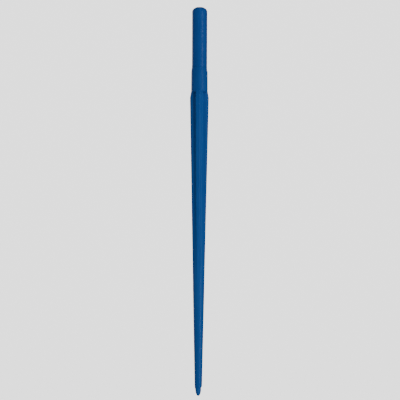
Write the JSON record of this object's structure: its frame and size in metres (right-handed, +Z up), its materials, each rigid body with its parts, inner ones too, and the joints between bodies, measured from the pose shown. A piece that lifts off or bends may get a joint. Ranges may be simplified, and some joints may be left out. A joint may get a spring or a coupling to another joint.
{
  "type": "stake drip emitter",
  "caption": "Blue plastic drip emitter on a long four-finned ground spike, with a push-on domed cap over a pressure-regulating core.",
  "frame": {"origin": "on the stake's axis at the soil line, the widest level of the fins", "axes": "+Z up along the stake, from its point to the inlet; one fin points along -Y"},
  "size_m": [0.01, 0.01, 0.2041],
  "materials": {
    "blue_plastic": "satin moulded polypropylene",
    "cap_plastic": "satin moulded polypropylene",
    "black_acetal": "satin moulded acetal",
    "white_acetal": "satin moulded acetal",
    "black_rubber": "matt moulded rubber",
    "silicone": "milky silicone",
    "filter_gauze": "fine nylon gauze"
  },
  "bodies": {
    "stake": {"spike": "blue_plastic", "labyrinth_core": "black_acetal", "core_ring": "black_rubber", "stem_ring": "black_rubber", "diaphragm_seat": "white_acetal", "diaphragm_clamp": "white_acetal", "strainer": "white_acetal", "strainer_mesh": "filter_gauze"},
    "cap": {"cap": "cap_plastic", "inlet_washer": "white_acetal", "inlet_grommet": "black_rubber"},
    "diaphragm": {"diaphragm": "silicone"}
  },
  "joints": [
    {"name": "cap_pull", "type": "slide", "parent": "stake", "child": "cap", "axis": [0, 0, 1], "range_m": [0, 0.03]},
    {"name": "diaphragm_lift", "type": "slide", "parent": "stake", "child": "diaphragm", "axis": [0, 0, -1], "range_m": [0, 0.0003], "stiffness_N_per_m": 5}
  ]
}
